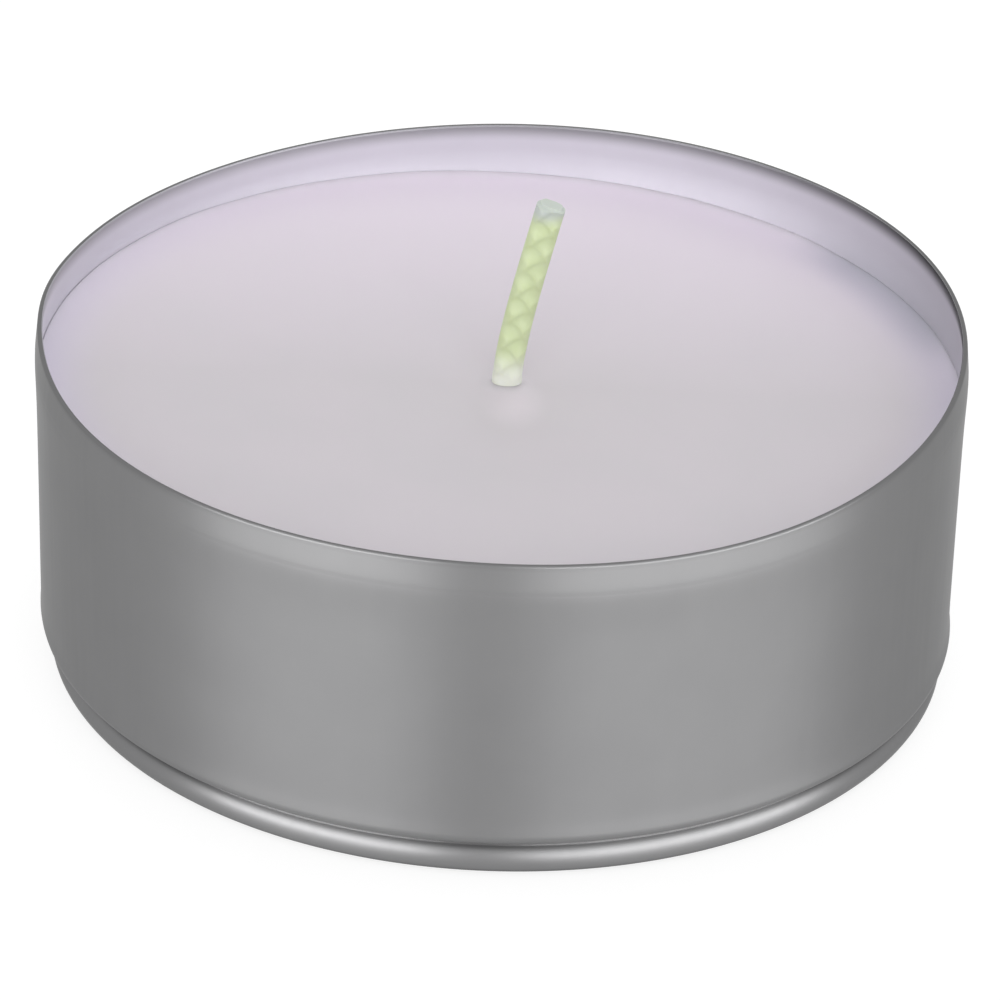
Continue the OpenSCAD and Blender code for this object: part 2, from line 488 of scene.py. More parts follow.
@dataclass
class FoilCup:
    """The drawn cup with its folded rim.

    Attributes:
        line: The line that the foil follows.
        askew: How the cup is out of true.
        sides: Points round the cup.
        bend_step: Largest angle between two points of a bend, in degrees.
        wall_rows: Rows of points up the wall.
        lip_slope: Slope with which the lip under the rim leans in.
        lip_height: Height of that lip.
        lip_blend: Height over which it blends into the wall.
        hairline: Depth of the line that is left where the folded leg is pressed flush with the wall.
        ease: How far from the leg's end the inner face is smoothed, up and down.
        swages: Faint rings pressed outwards into the wall: height, rise and half width of each.
        bulges: The wall's soft bulges.
        painted_shade_bands: Bands of painted shade round the outside, where creases and undersides would lie
            in shade: height of the middle, half width, and how dark.
        inner_side_shade: How much painted shade the inside has at its +X side.
        side_shade_at: Azimuth of the middle of that side, and half its width, in degrees.
        inner_shade: How much painted shade the inside has just under the fold.
        shade_height: Distance below the rim over which that fades.
        shade_turn: How much more of it there is at the +X side, and how much less at the -X side.
        rim_rows: Rows of points up the inner face beside the folded leg.
        finish_edge: Distance below the rim where the inner finish ends, in thicknesses of the foil.
    """

    line: FoilLine
    askew: Askew
    sides: int = 240
    bend_step: float = 7.5
    wall_rows: int = 34
    lip_slope: float = 0.08
    lip_height: float = 1.25 * MM
    lip_blend: float = 0.14 * MM
    hairline: float = 0.003 * MM
    ease: float = 0.85 * MM
    swages: tuple[tuple[float, float, float], ...] = ()
    bulges: tuple[Bulge, ...] = ()
    painted_shade_bands: tuple[tuple[float, float, float], ...] = ()
    inner_side_shade: float = 0.3
    side_shade_at: Pair = (88.0, 36.0)
    inner_shade: float = 0.64
    shade_height: float = 0.8 * MM
    shade_turn: float = 0.3
    rim_rows: int = 10
    finish_edge: float = 0.3

    def build(self) -> bpy.types.Object:
        """Build the cup's mesh.

        Returns:
            The cup as one closed sheet. Its second material is the face that looks at the wax.
        """
        faces = (Side.INNER, Side.OUTER)
        inner, outer = (self.line.skin(face, self.bend_step, self.wall_rows) for face in faces)
        leg_row = int(np.argmax(np.diff(inner[:, 1]))) + 1
        beside_leg = np.linspace(inner[leg_row - 1], inner[leg_row], self.rim_rows + 2)[1:-1]
        inner = np.vstack([inner[:leg_row], beside_leg, inner[leg_row:]])
        inside_rings = int(np.argmax(inner[:, 1] > self.line.cup_h - self.finish_edge * self.line.foil_t))
        self.press_flush(inner[:inside_rings], outer)
        outline = np.vstack([inner, outer[::-1]])
        inside = np.arange(len(outline)) < inside_rings
        rings = turned_rings(outline, self.sides)
        across = np.hypot(rings[:, :, 0], rings[:, :, 1])
        azimuth = np.degrees(np.arctan2(rings[:, :, 0], -rings[:, :, 1]))
        height = rings[:, :, 2].copy()
        push = np.zeros_like(height)
        for bulge in self.bulges:
            push += bulge.offset(azimuth, height, self.line.rim_r)
        for middle, rise, width in self.swages:
            push += rise * bell((height - middle) / width)
        up_lip = (self.lip_height - (self.line.cup_h - height)) / self.lip_blend
        push -= self.lip_slope * self.lip_blend * np.logaddexp(0.0, up_lip)
        floor_edge = self.line.rim_r - 2 * self.line.bead_inset
        on_wall = across > floor_edge
        scale = 1.0 + np.where(on_wall, push / np.maximum(across, self.line.half_t), 0.0)
        rings[:, :, :2] *= scale[:, :, None]
        rings[:, :, 2] += self.askew.lift(rings)
        rings[:, :, 0] += self.askew.slide(rings[:, :, 0], height)
        # Painted shade for each point: bands round the outside and shade on the inside.
        painted_shade = self.painted_shading(azimuth, height, inside)
        finishes = inside.astype(int).tolist()
        return sweep_mesh("foil_cup", rings, ring_loop=False, finishes=finishes, painted_shade=painted_shade)

    def press_flush(self, inner: np.ndarray, outer: np.ndarray) -> None:
        """Press the joggle flat against the folded leg, so that only a hairline shows outside.

        Args:
            inner: Points along the inner face up to the fold, changed in place.
            outer: Points along the outer face, changed in place.
        """
        leg_end, reach = self.line.leg_end[1], 3 * self.line.joggle_r
        tucked = np.flatnonzero((outer[:, 1] < leg_end) & (outer[:, 1] > leg_end - reach))
        outer[tucked[-1], 1] = leg_end - self.hairline
        flush = self.line.wall_radius(outer[tucked, 1], -self.line.half_t) - self.hairline
        outer[tucked, 0] = np.maximum(outer[tucked, 0], flush)
        eased = np.abs(inner[:, 1] - leg_end) < self.ease
        share = smooth_step((inner[:, 1] - leg_end + self.ease) / (2 * self.ease))
        soft = self.line.wall_radius(inner[:, 1], self.line.half_t) - self.line.tuck * share
        inner[eased, 0] = soft[eased]

    def painted_shading(self, azimuth: np.ndarray, height: np.ndarray, inside: np.ndarray) -> np.ndarray:
        """Return how much painted shade the foil has at each point.

        Args:
            azimuth: Directions of the points, in degrees.
            height: Heights of the points.
            inside: For each ring, whether it is on the face that looks at the wax.

        Returns:
            Painted shade from 0 to 1.
        """
        painted_shade = np.zeros_like(height)
        # Bands of painted shade round the outside.
        for middle, width, share in self.painted_shade_bands:
            painted_shade += share * (1.0 - smooth_step(np.abs(height - middle) / width))
        side, half_width = self.side_shade_at
        # Painted shade on the inside, strongest round its +X side.
        painted_shade[inside] = self.inner_side_shade * bell((azimuth[inside] - side) / half_width)
        # Painted shade under the fold, more of it at the +X side.
        turned = 1.0 + self.shade_turn * np.sin(np.radians(azimuth[inside]))
        faded = 1.0 - smooth_step((self.line.cup_h - height[inside]) / self.shade_height)
        painted_shade[inside] += self.inner_shade * turned * faded
        return painted_shade


@dataclass
class CastWax:
    """The wax, cast in the cup around the wick and the sustainer.

    Attributes:
        line: The line that the cup's foil follows.
        askew: How the cup is out of true.
        wick_at: How far the wick stands from the cup's axis, towards +X.
        wick_bore: Radius of the hole that the wick leaves in the wax.
        bore_depth: Half the depth of that hole, from front to back.
        neck_space: Radius and top height of the space of the sustainer's neck.
        disc_space: Radius and top height of the space of the sustainer's disc.
        drop: Depth of the surface below the rim.
        tilt: Rise of the surface for each length towards +X, as it set out of level.
        edge_climb: Height that the wax climbs at the foil.
        edge_reach: Distance over which that climb dies away.
        hollow_depth: Depth of the hollow around the wick.
        hollow_r: Radius of the hollow.
        collar_h: Height that the wax climbs at the wick.
        collar_reach: Distance over which the wax falls away from the wick.
        shrink: Clearance left by the wax as it shrinks from the foil.
        cling: What is left of that clearance at the top, where the wax still clings to the foil.
        swell: Height of the slow waves of the cooled surface.
        swell_size: Distance over which those waves change.
        swell_noise: Roughness, finer step and number of layers of those waves.
        sides: Points round the wax.
        rows: Rows of points in the hollow, between it and the edge, and in the climb at the edge.
        crowding: Power with which the hollow's rows crowd towards the wick.
        edge_span: Width of the climb's rows, in its reaches.
        bend_step: Largest angle between two points of a bend, in degrees.
    """

    line: FoilLine
    askew: Askew
    wick_at: float
    wick_bore: float
    bore_depth: float
    neck_space: Pair
    disc_space: Pair
    drop: float = 2.35 * MM
    tilt: float = -0.015
    edge_climb: float = 0.15 * MM
    edge_reach: float = 0.7 * MM
    hollow_depth: float = 0.25 * MM
    hollow_r: float = 5.0 * MM
    collar_h: float = 0.35 * MM
    collar_reach: float = 0.6 * MM
    shrink: float = 0.03 * MM
    cling: float = 0.004 * MM
    swell: float = 0.03 * MM
    swell_size: float = 6.0 * MM
    swell_noise: tuple[float, float, int] = (0.6, 2.0, 3)
    sides: int = 240
    rows: tuple[int, int, int] = (34, 12, 22)
    crowding: float = 1.6
    edge_span: float = 5.0
    bend_step: float = 12.0

    @property
    def level(self) -> float:
        """Height of the wax surface away from the foil and the wick."""
        return self.line.cup_h - self.drop

    def surface_height(self, radius: np.ndarray, edge: float) -> np.ndarray:
        """Return the height of the wax surface before its slow waves.

        Args:
            radius: Distances from the axis.
            edge: Radius where the wax meets the foil.

        Returns:
            Height at each distance.
        """
        climb = self.edge_climb * np.exp((radius - edge) / self.edge_reach)
        across = np.clip(radius / self.hollow_r, 0.0, 1.0)
        hollow = self.hollow_depth * 0.5 * (1.0 + np.cos(math.pi * across))
        collar = self.collar_h * np.exp(-np.maximum(radius - self.wick_bore, 0.0) / self.collar_reach)
        return self.level + climb - hollow + collar

    def build(self) -> bpy.types.Object:
        """Build the wax's mesh.

        Returns:
            The wax as one closed solid with the space of the wick and the sustainer in it.
        """
        disc_r, disc_top = self.disc_space
        neck_r, neck_top = self.neck_space
        edge = float(self.line.wall_radius(self.level + self.edge_climb, self.line.half_t + self.cling))
        hollow_rows, middle_rows, edge_rows = self.rows
        near_edge = edge - self.edge_span * self.edge_reach * np.linspace(1.0, 0.0, edge_rows) ** 2
        middle = np.linspace(self.hollow_r, near_edge[0], middle_rows + 2)[1:-1]
        crowded = np.linspace(0.0, 1.0, hollow_rows) ** self.crowding
        near_wick = self.wick_bore + (self.hollow_r - self.wick_bore) * crowded
        radii = np.concatenate([near_wick, middle, near_edge])
        surface = np.stack([radii, self.surface_height(radii, edge)], axis=1)
        side = self.line.foot(self.line.half_t + self.shrink, self.bend_step)[::-1]
        side = side[side[:, 0] > disc_r] - np.array([0.0, self.shrink])
        disc = [[disc_r, self.line.floor_top], [disc_r, disc_top]]
        neck = [[neck_r, disc_top], [neck_r, neck_top], [self.wick_bore, neck_top]]
        outline = np.vstack([surface, side, disc, neck])
        rings = turned_rings(outline, self.sides)
        open_wax = rings[: len(surface)]
        open_ring = (np.arange(len(outline)) < len(surface)) | (outline[:, 0] <= self.wick_bore)
        oval = open_ring * np.exp(-(outline[:, 0] - self.wick_bore) / self.collar_reach)
        rings[:, :, 1] *= 1.0 - oval[:, None] * (1.0 - self.bore_depth / self.wick_bore)
        outward = smooth_step((outline[:, 0] - disc_r) / disc_r)[:, None]
        rings[:, :, 0] += self.wick_at * (1.0 - outward)
        self.wave(open_wax)
        open_wax[:, :, 2] += self.tilt * (open_wax[:, :, 0] - self.wick_at)
        lift = self.askew.lift(rings)
        lift[: len(surface)] = 0.0
        rings[:, :, 0] += outward * self.askew.slide(rings[:, :, 0], rings[:, :, 2])
        rings[:, :, 2] += outward * lift
        return sweep_mesh("cast_wax", rings, ring_loop=True)

    def wave(self, rings: np.ndarray) -> None:
        """Give the surface the slow waves of wax that cooled.

        Args:
            rings: The rings of the surface, from the wick outwards, changed in place.
        """
        for point in rings.reshape(-1, 3):
            place = Vector((point[0], point[1], 0.0)) / self.swell_size
            away = min(math.hypot(point[0] - self.wick_at, point[1]) / self.hollow_r, 1.0)
            point[2] += self.swell * away * noise.fractal(place, *self.swell_noise)


@dataclass
class BraidedWick:
    """The braided cotton wick in its coat of wax.

    Attributes:
        at: How far the wick stands from the cup's axis, towards +X.
        foot: Height of the cup's floor.
        surface: Height where the wick leaves the wax.
        free: Length of wick above the wax.
        radius: Radius of the round hole that the braid just fills.
        pitch: Length of braid in which a strand crosses over and comes back.
        lean: Angle that the end leans, in degrees.
        lean_reach: Length over which the lean builds up.
        hole_gap: Gap left by the wax around the wick, which the coat fills where the wick leaves the wax.
        sleeve: Height above the surface to which the coat is that wide.
        coat: Share of the braid's width and depth that the coat fills between the strands.
        softness: How softly the coat rounds the strands, as a share of the wick's radius.
        flank: Slope with which a strand falls away outside its own width.
        end_round: Length of the rounded end, as a share of the wick's radius.
        end_share: Share of its section that the end keeps.
        step: Distance between rings.
        sides: Points round the wick.
    """

    at: float
    foot: float
    surface: float
    free: float
    radius: float
    pitch: float = 3.6 * MM
    lean: float = 13.5
    lean_reach: float = 2.0 * MM
    hole_gap: float = 0.018 * MM
    sleeve: float = 0.35 * MM
    coat: float = 0.97
    softness: float = 0.3
    flank: float = 3.0
    end_round: float = 0.15
    end_share: float = 0.6
    step: float = 0.06 * MM
    sides: int = 72

    @property
    def strand_r(self) -> float:
        """Radius of one of the three strands, which lie side by side."""
        return self.radius / 3.0

    @property
    def half_depth(self) -> float:
        """Half the braid's depth, from front to back."""
        return self.strand_r * (1.0 + 2.0 / math.sqrt(3.0))

    def middle_line(self, along: np.ndarray) -> tuple[np.ndarray, np.ndarray]:
        """Return the wick's middle line.

        Args:
            along: Distances along the wick from its foot, evenly spaced.

        Returns:
            The points as X and Z, and the lean at each in radians.
        """
        past = np.maximum(along - (self.surface - self.foot), 0.0)
        lean = math.radians(self.lean) * (1.0 - np.exp(-past / self.lean_reach))
        gap = along[1] - along[0]
        between = (lean[1:] + lean[:-1]) / 2
        steps = np.stack([np.sin(between), np.cos(between)], axis=1) * gap
        line = np.array([self.at, self.foot]) + np.vstack([[0.0, 0.0], np.cumsum(steps, axis=0)])
        return line, lean

    def reach(self, along: np.ndarray, turn: np.ndarray) -> np.ndarray:
        """Return how far the coated braid reaches from the wick's middle line.

        Args:
            along: Distances along the wick, as a column.
            turn: Directions round the wick, in radians.

        Returns:
            The distance for each ring and direction.
        """
        strand_r = self.strand_r
        east, north = np.cos(turn), np.sin(turn)
        oval = self.coat / np.hypot(east / self.radius, north / self.half_depth)
        reaches = [oval * np.ones_like(along)]
        for number in range(3):
            phase = 2.0 * math.pi * (along / self.pitch + number / 3.0)
            x = 2.0 * strand_r * np.sin(phase)
            y = 2.0 * strand_r / math.sqrt(3.0) * np.sin(2.0 * phase)
            toward, beside = x * east + y * north, x * north - y * east
            past = np.maximum(np.abs(beside) - strand_r, 0.0)
            reaches.append(toward + np.sqrt(np.maximum(strand_r**2 - beside**2, 0.0)) - self.flank * past)
        soft = self.softness * self.radius
        stack = np.stack(reaches)
        return soft * np.log(np.sum(np.exp((stack - self.radius) / soft), axis=0)) + self.radius

    def build(self) -> bpy.types.Object:
        """Build the wick's mesh.

        Returns:
            The coated braid as one closed skin.
        """
        length = self.surface - self.foot + self.free
        along = np.linspace(0.0, length, math.ceil(length / self.step) + 1)
        line, lean = self.middle_line(along)
        turn = np.linspace(0.0, 2.0 * math.pi, self.sides, endpoint=False)
        radius = np.minimum(self.reach(along[:, None], turn), self.radius)
        hole_r, hole_depth = self.radius + self.hole_gap, self.half_depth + self.hole_gap
        hole = 1.0 / np.hypot(np.cos(turn) / hole_r, np.sin(turn) / hole_depth)
        above = (along - (self.surface - self.foot) - self.sleeve)[:, None] / (2 * self.sleeve)
        radius += (1.0 - smooth_step(above)) * (hole - radius)
        to_end = (length - along) / (self.end_round * self.radius)
        radius *= np.sqrt(np.clip(to_end, self.end_share, 1.0))[:, None]
        across, deep = radius * np.cos(turn), radius * np.sin(turn)
        x = line[:, :1] + across * np.cos(lean)[:, None]
        z = line[:, 1:] - across * np.sin(lean)[:, None]
        return sweep_mesh("braided_wick", np.stack([x, deep, z], axis=2), ring_loop=False)


class Curve(Enum):
    """How a ramp runs between its two ends."""

    STRAIGHT = "LINEAR"
    EASED = "SMOOTHSTEP"


class Nodes:
    """A node tree that is being written, with short calls for what the finishes repeat."""

    def __init__(self, tree: bpy.types.NodeTree) -> None:
        """Start with an emptied tree."""
        self.tree = tree
        tree.nodes.clear()

    def wire(self, socket: Socket, value: object) -> None:
        """Set or link one input.

        Args:
            socket: The input.
            value: A number, a colour or other row of three numbers, or an output socket.
        """
        if isinstance(value, Socket):
            self.tree.links.new(value, socket)
        elif socket.type == "RGBA":
            socket.default_value = (*value, 1.0)
        else:
            socket.default_value = value

    def add(self, kind: str, **values: object) -> bpy.types.Node:
        """Add a node.

        Args:
            kind: Blender's name of the node type.
            values: Its properties, whose names start with a small letter, and its inputs, whose names start
                with a capital and have _ for each space.

        Returns:
            The new node.
        """
        node = self.tree.nodes.new(kind)
        for name, value in values.items():
            if name[0].islower():
                setattr(node, name, value)
            else:
                self.wire(node.inputs[name.replace("_", " ")], value)
        return node

    def join(self, kind: str, *values: object, **settings: object) -> Socket:
        """Add a node whose inputs are given in order.

        Args:
            kind: Blender's name of the node type.
            values: Its first inputs.
            settings: Its properties.

        Returns:
            Its first output.
        """
        node = self.add(kind, **settings)
        for socket, value in zip(node.inputs, values):
            self.wire(socket, value)
        return node.outputs[0]

    def math(self, operation: str, *values: object) -> Socket:
        """Add a Math node with its inputs in order, and return its output."""
        return self.join("ShaderNodeMath", *values, operation=operation)

    def layered(self, colour: object, *layers: tuple[object, object]) -> Socket:
        """Lay colours over one another.

        Args:
            colour: The colour at the bottom.
            layers: From the bottom up, how much of each layer shows, and its colour.

        Returns:
            The colour that results.
        """
        share_input, below_input, above_input, colour_output = 0, 6, 7, 2
        for share, above in layers:
            node = self.add("ShaderNodeMix", data_type="RGBA")
            for number, value in ((share_input, share), (below_input, colour), (above_input, above)):
                self.wire(node.inputs[number], value)
            colour = node.outputs[colour_output]
        return colour

    def ramp(
        self,
        value: Socket,
        first: float,
        last: float,
        low: float = 0.0,
        high: float = 1.0,
        curve: Curve = Curve.EASED,
    ) -> Socket:
        """Add a ramp that stays level past its ends.

        Args:
            value: The output that it follows.
            first: Value where it begins.
            last: Value where it ends.
            low: What it gives at the beginning.
            high: What it gives at the end.
            curve: How it runs between them.

        Returns:
            The ramp's output.
        """
        ends = {"From_Min": first, "From_Max": last, "To_Min": low, "To_Max": high}
        return self.add("ShaderNodeMapRange", interpolation_type=curve.value, Value=value, **ends).outputs[0]

    def bump(self, height: Socket, strength: float, depth: float) -> Socket:
        """Add a bump with a strength and a depth, and return its normal."""
        return self.add("ShaderNodeBump", Height=height, Strength=strength, Distance=depth).outputs[0]

    def place(self) -> Socket:
        """Return the place on the piece, in metres."""
        return self.add("ShaderNodeTexCoord").outputs["Object"]

    def split(self, place: Socket) -> bpy.types.bpy_prop_collection:
        """Return the outputs X, Y and Z of a place."""
        return self.add("ShaderNodeSeparateXYZ", Vector=place).outputs

    def noise(self, place: Socket, scale: object, detail: float) -> Socket:
        """Add noise from 0 to 1, and return its output."""
        return self.add("ShaderNodeTexNoise", Vector=place, Scale=scale, Detail=detail).outputs[0]

    def spots(self, place: Socket, size_mm: Socket, detail: float) -> Socket:
        """Add noise whose spots have a size in millimetres, and return its output."""
        return self.noise(place, self.math("DIVIDE", 1.0 / MM, size_mm), detail)

    def principled(self, **values: object) -> None:
        """Add a Principled shader with its inputs by name, and end the material with it."""
        shader = self.add("ShaderNodeBsdfPrincipled", **values)
        self.add("ShaderNodeOutputMaterial", Surface=shader.outputs[0])


def shader_group(name: str, inputs: dict[str, float], outputs: tuple[str, ...]) -> Nodes:
    """Make an empty shader node group.

    Args:
        name: Name of the group.
        inputs: Default of each number input, by its name.
        outputs: Names of the number outputs.

    Returns:
        The group's nodes, to write.
    """
    tree = bpy.data.node_groups.new(name, "ShaderNodeTree")
    for label, value in inputs.items():
        tree.interface.new_socket(label, in_out="INPUT", socket_type="NodeSocketFloat").default_value = value
    for label in outputs:
        tree.interface.new_socket(label, in_out="OUTPUT", socket_type="NodeSocketFloat")
    return Nodes(tree)


def grain_group() -> bpy.types.NodeTree:
    """Make the grain of drawn metal: fine streaks up the wall and a soft mottle.

    Returns:
        The group, whose outputs Streaks and Mottle run from 0 to 1.
    """
    changes_up = 120.0
    sizes = {"Streaks each turn": 200.0, "Mottle size mm": 2.0}
    nodes = shader_group("DrawnGrain", sizes, ("Streaks", "Mottle"))
    given = nodes.add("NodeGroupInput").outputs
    place = nodes.place()
    split = nodes.split(place)
    turn = nodes.math("ARCTAN2", split["X"], split["Y"])
    round_cup = nodes.math("MULTIPLY", turn, nodes.math("DIVIDE", given["Streaks each turn"], 2 * math.pi))
    up = nodes.math("MULTIPLY", split["Z"], changes_up)
    streaks = nodes.noise(nodes.join("ShaderNodeCombineXYZ", round_cup, up), 1.0, detail=3.0)
    mottle = nodes.spots(place, given["Mottle size mm"], detail=4.0)
    nodes.add("NodeGroupOutput", Streaks=streaks, Mottle=mottle)
    return nodes.tree


def blotch_group() -> bpy.types.NodeTree:
    """Make the cloudiness of wax: slow blotches and fine grains.

    Returns:
        The group, whose outputs Blotches and Grains run from 0 to 1.
    """
    nodes = shader_group("WaxBlotches", {"Blotch size mm": 5.0, "Grain size mm": 0.3}, ("Blotches", "Grains"))
    given = nodes.add("NodeGroupInput").outputs
    place = nodes.place()
    blotches = nodes.spots(place, given["Blotch size mm"], detail=2.0)
    grains = nodes.spots(place, given["Grain size mm"], detail=3.0)
    nodes.add("NodeGroupOutput", Blotches=blotches, Grains=grains)
    return nodes.tree


def new_material(name: str) -> tuple[bpy.types.Material, Nodes]:
    """Make a material without nodes.

    Args:
        name: Name of the material.

    Returns:
        The material, and its nodes to write.
    """
    material = bpy.data.materials.new(name)
    material.use_nodes = True
    return material, Nodes(material.node_tree)


@dataclass(frozen=True)
class MetalFinish:
    """Rolled sheet metal that was drawn to shape.

    Attributes:
        name: Name of the material.
        colour: Colour of its reflection.
        mottle_colour: Colour of its duller spots.
        painted_shade_colour: Colour of the painted shade, which the mesh's painted-shade attribute lays over
            the foil.
        roughness: Roughness of the sheet.
        uneven: How much the roughness varies.
        anisotropy: How far the grain stretches highlights up the wall.
        streaks: Streaks round the cup.
        streak_depth: Depth of the streaks, for the bump.
        mottle_mm: Size of the spots in millimetres.
        metallic: How much of the look is metal; the rest is a dull film.
        edge_tint: Share of light reflected at a glancing angle, of what bright metal would.
    """

    name: str
    colour: Colour
    mottle_colour: Colour
    painted_shade_colour: Colour = (0.02, 0.02, 0.02)
    roughness: float = 0.41
    uneven: float = 0.03
    anisotropy: float = 0.74
    streaks: float = 260.0
    streak_depth: float = 0.002 * MM
    mottle_mm: float = 2.5
    metallic: float = 1.0
    edge_tint: float = 1.0

    def material(self, grain: bpy.types.NodeTree) -> bpy.types.Material:
        """Make the material.

        Args:
            grain: The grain of drawn metal.

        Returns:
            The finished material.
        """
        made, nodes = new_material(self.name)
        sizes = {"Streaks_each_turn": self.streaks, "Mottle_size_mm": self.mottle_mm}
        marks = nodes.add("ShaderNodeGroup", node_tree=grain, **sizes).outputs
        # Painted shade from the mesh, which darkens the colour towards painted_shade_colour.
        painted_shade = nodes.add("ShaderNodeAttribute", attribute_name=PAINTED_SHADE_ATTRIBUTE).outputs["Fac"]
        smooth, rough = self.roughness - self.uneven, self.roughness + self.uneven
        nodes.principled(
            Base_Color=nodes.layered(
                self.colour, (marks["Mottle"], self.mottle_colour), (painted_shade, self.painted_shade_colour)
            ),
            Roughness=nodes.ramp(marks["Streaks"], 0.0, 1.0, smooth, rough, Curve.STRAIGHT),
            Normal=nodes.bump(marks["Streaks"], strength=0.5, depth=self.streak_depth),
            Tangent=nodes.add("ShaderNodeTangent", direction_type="RADIAL", axis="Z").outputs[0],
            Anisotropic=self.anisotropy,
            Anisotropic_Rotation=0.25,
            Metallic=self.metallic,
            Specular_Tint=[self.edge_tint] * 3,
        )
        return made


@dataclass(frozen=True)
class Patch:
    """A round or oval patch of another colour on the wax.

    Attributes:
        colour: Its colour.
        begins: Distance from its middle where it begins.
        full: Distance where it is full.
        middle: Its middle, as X and Y.
        stretch: How much narrower it is in X than in Y.
    """

    colour: Colour
    begins: float
    full: float
    middle: Pair = (0.0, 0.0)
    stretch: float = 1.0

    def mask(self, nodes: Nodes, place: bpy.types.bpy_prop_collection) -> Socket:
        """Make the mask of the patch.

        Args:
            nodes: The material's nodes.
            place: The outputs X and Y of the place on the wax.

        Returns:
            The mask's output, from 0 to 1.
        """
        x = nodes.math("MULTIPLY", nodes.math("SUBTRACT", place["X"], self.middle[0]), self.stretch)
        y = nodes.math("SUBTRACT", place["Y"], self.middle[1])
        square = nodes.math("ADD", nodes.math("MULTIPLY", x, x), nodes.math("MULTIPLY", y, y))
        return nodes.ramp(nodes.math("SQRT", square), self.begins, self.full)


@dataclass(frozen=True)
class WaxFinish:
    """Cast paraffin wax: cloudy, a little translucent and softly glossy.

    Attributes:
        front_colour: Colour of the wax towards the front.
        painted_back_light_colour: Painted light: colour of the wax at the back, which is paler because more
            light falls there.
        back_light_y: Where that painted light begins and where it is full, along Y.
        cloud_colour: Colour of its cloudier blotches.
        cloud_from: Values of the blotches where that colour begins and where it shows most.
        cloud_share: How much of it shows there.
        edge: The thin wax that climbs the foil.
        pale: A painted highlight on the wax in front of the wick.
        edge_shade_patch: Painted shade on the wax's edge at the back right, where the foil wall shades it.
        edge_shade_from: Distance from the axis where that painted shade begins.
        roughness: Roughness of the surface.
        gloss: How much of a plain wax's mirror light the surface gives, where 0.5 is all of it.
        depth: Distance that light travels in the wax.
    """

    front_colour: Colour = (0.605, 0.570, 0.604)
    painted_back_light_colour: Colour = (0.770, 0.700, 0.785)
    back_light_y: Pair = (0.0, 18.0 * MM)
    cloud_colour: Colour = (0.560, 0.545, 0.570)
    cloud_from: Pair = (0.35, 0.75)
    cloud_share: float = 0.3
    edge: Patch = Patch((0.640, 0.600, 0.700), 16.0 * MM, 19.2 * MM)
    pale: Patch = Patch((0.700, 0.650, 0.700), 2.8 * MM, 0.0, (0.65 * MM, -1.6 * MM), 1.7)
    edge_shade_patch: Patch = Patch((0.470, 0.460, 0.530), 7.0 * MM, 2.8 * MM, (16.2 * MM, 9.2 * MM))
    edge_shade_from: float = 16.6 * MM
    roughness: float = 0.5
    gloss: float = 0.15
    depth: float = 0.8 * MM

    def material(self, blotches: bpy.types.NodeTree) -> bpy.types.Material:
        """Make the material.

        Args:
            blotches: The cloudiness of wax.

        Returns:
            The finished material.
        """
        made, nodes = new_material("cast_wax")
        sizes = {"Blotch_size_mm": 6.0, "Grain_size_mm": 0.35}
        clouds = nodes.add("ShaderNodeGroup", node_tree=blotches, **sizes).outputs
        place = nodes.split(nodes.place())
        cloud = nodes.ramp(clouds["Blotches"], *self.cloud_from, high=self.cloud_share)
        # Painted light: the wax grows paler towards the back.
        back = nodes.ramp(place["Y"], *self.back_light_y, curve=Curve.STRAIGHT)
        near_foil = replace(self.edge, begins=self.edge_shade_from).mask(nodes, place)
        colour = nodes.layered(
            self.front_colour,
            (cloud, self.cloud_colour),
            (self.edge.mask(nodes, place), self.edge.colour),
            # Painted highlight in front of the wick.
            (self.pale.mask(nodes, place), self.pale.colour),
            (back, self.painted_back_light_colour),
            # Painted shade along the edge at the back right.
            (nodes.math("MULTIPLY", self.edge_shade_patch.mask(nodes, place), near_foil), self.edge_shade_patch.colour),
        )
        nodes.principled(
            Base_Color=colour,
            Normal=nodes.bump(clouds["Grains"], strength=0.25, depth=0.01 * MM),
            Roughness=self.roughness,
            IOR=1.44,
            Specular_IOR_Level=self.gloss,
            Subsurface_Weight=0.5,
            Subsurface_Scale=self.depth,
            Subsurface_Radius=(1.0, 0.9, 1.0),
        )
        return made


@dataclass(frozen=True)
class CottonFinish:
    """Braided cotton soaked in wax, pale at its foot and dull at its cut end.

    Attributes:
        foot_z: Heights between which the foot's colour fades.
        tip_z: Heights between which the tip's colour comes in.
        colour: Colour of the wick.
        shade_colour: Colour of its darker fibres.
        foot_colour: Colour where it leaves the wax.
        tip_colour: Colour of the cut end.
    """

    foot_z: Pair
    tip_z: Pair
    colour: Colour = (0.660, 0.745, 0.475)
    shade_colour: Colour = (0.580, 0.675, 0.355)
    foot_colour: Colour = (0.780, 0.810, 0.710)
    tip_colour: Colour = (0.540, 0.590, 0.545)

    def material(self, blotches: bpy.types.NodeTree) -> bpy.types.Material:
        """Make the material.

        Args:
            blotches: The cloudiness of wax, which also serves for soaked fibres.

        Returns:
            The finished material.
        """
        made, nodes = new_material("waxed_cotton")
        sizes = {"Blotch_size_mm": 0.5, "Grain_size_mm": 0.06}
        fibres = nodes.add("ShaderNodeGroup", node_tree=blotches, **sizes).outputs
        height = nodes.split(nodes.place())["Z"]
        colour = nodes.layered(
            self.colour,
            (fibres["Blotches"], self.shade_colour),
            (nodes.ramp(height, *self.foot_z[::-1]), self.foot_colour),
            (nodes.ramp(height, *self.tip_z), self.tip_colour),
        )
        nodes.principled(
            Base_Color=colour,
            Normal=nodes.bump(fibres["Grains"], strength=0.3, depth=0.02 * MM),
            Roughness=0.55,
            Subsurface_Weight=0.3,
            Subsurface_Scale=0.3 * MM,
            Subsurface_Radius=(1.0, 1.0, 0.6),
        )
        return made


